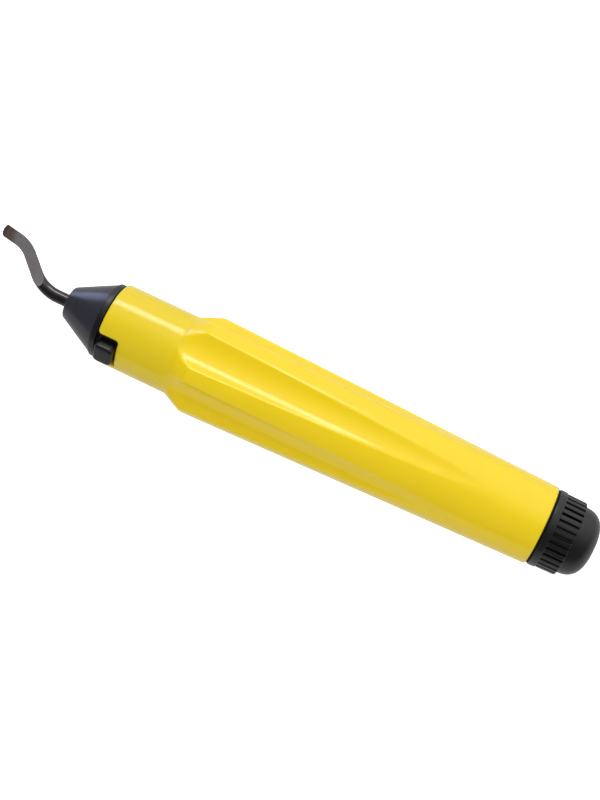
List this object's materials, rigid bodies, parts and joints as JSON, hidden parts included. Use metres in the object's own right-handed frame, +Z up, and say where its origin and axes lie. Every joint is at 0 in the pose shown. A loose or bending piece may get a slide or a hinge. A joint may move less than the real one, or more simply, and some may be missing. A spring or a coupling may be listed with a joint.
{
  "type": "deburring tool",
  "caption": "Pen-shaped hand deburring tool: fluted tapering barrel, conical nose with a swivelling S-shaped blade, side release button and ribbed screw cap over the spare-blade store.",
  "frame": {"origin": "centre of the bounding box's base, on the surface that the tool lies on", "axes": "+X along the tool's axis towards the screw cap, blade at -X, +Z up with the barrel lying on two of its lands"},
  "size_m": [0.1582, 0.0248, 0.0229],
  "materials": {
    "yellow_moulding": "glossy injection moulded",
    "navy_moulding": "satin moulded",
    "black_moulding": "semi-gloss moulded",
    "black_rubber": "matt moulded",
    "tool_steel": "hardened, with a fine-ground flat",
    "bright_steel": "ground and polished",
    "spring_steel": "drawn and stamped"
  },
  "bodies": {
    "handle": {"barrel": "yellow_moulding", "nose_cone": "navy_moulding", "holder_core": "black_moulding", "guide_bush": "bright_steel", "thrust_ball": "bright_steel", "button_spring": "spring_steel", "spare_blade_1": "tool_steel", "spare_blade_2": "tool_steel"},
    "swivel_blade": {"blade": "tool_steel"},
    "latch": {"release_button": "black_moulding", "latch_plate": "spring_steel"},
    "cap_carriage": {"cap_seal": "black_rubber"},
    "cap": {"rear_cap": "black_moulding"}
  },
  "joints": [
    {"name": "blade_swivel", "type": "hinge", "parent": "handle", "child": "swivel_blade", "pos_m": [-0.04507, 0, 0.01144], "axis": [1, 0, 0], "continuous": true},
    {"name": "button_press", "type": "slide", "parent": "handle", "child": "latch", "axis": [0, 0.866, -0.5], "range_m": [0, 0.0014], "stiffness_N_per_m": 1200, "springref_m": -0.0015, "deforming": ["button_spring"]},
    {"name": "cap_travel", "type": "slide", "parent": "handle", "child": "cap_carriage", "axis": [1, 0, 0], "range_m": [0, 0.008]},
    {"name": "cap_turn", "type": "hinge", "parent": "cap_carriage", "child": "cap", "pos_m": [0.06693, 0, 0.01144], "axis": [1, 0, 0], "range_deg": [0, 1440]}
  ],
  "couplings": [
    {"joint": "cap_travel", "follows": "cap_turn", "m_per_rad": 0.0003183}
  ]
}
